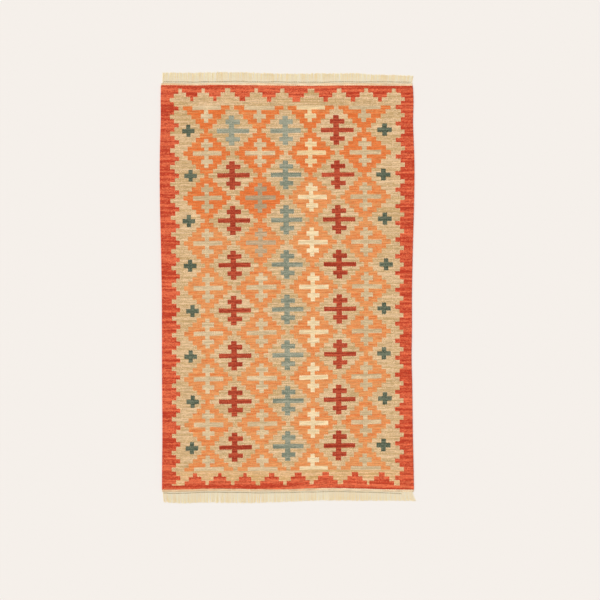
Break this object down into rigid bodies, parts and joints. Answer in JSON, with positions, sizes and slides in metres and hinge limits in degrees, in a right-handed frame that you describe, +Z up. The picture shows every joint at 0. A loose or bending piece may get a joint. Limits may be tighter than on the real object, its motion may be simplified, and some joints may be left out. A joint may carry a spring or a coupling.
{
  "type": "kilim rug",
  "caption": "Flat-woven wool kilim rug lying flat, with a stepped diamond pattern, toothed red border and a cut warp fringe at each end.",
  "frame": {"origin": "middle of the whole rug's box, fringes included, on the surface it lies on", "axes": "+X across the rug's width, +Y along its length towards the far fringe, +Z up out of its face"},
  "size_m": [0.8102, 1.374, 0.0041],
  "materials": {
    "wool_weave": "matt weft-faced wool weave in red, orange, beige, cream, grey-blue and dark green",
    "cotton_fringe": "undyed cream cotton warp yarn, matt"
  },
  "bodies": {
    "root": {"woven_body": "wool_weave", "near_fringe": "cotton_fringe", "far_fringe": "cotton_fringe"}
  },
  "joints": []
}
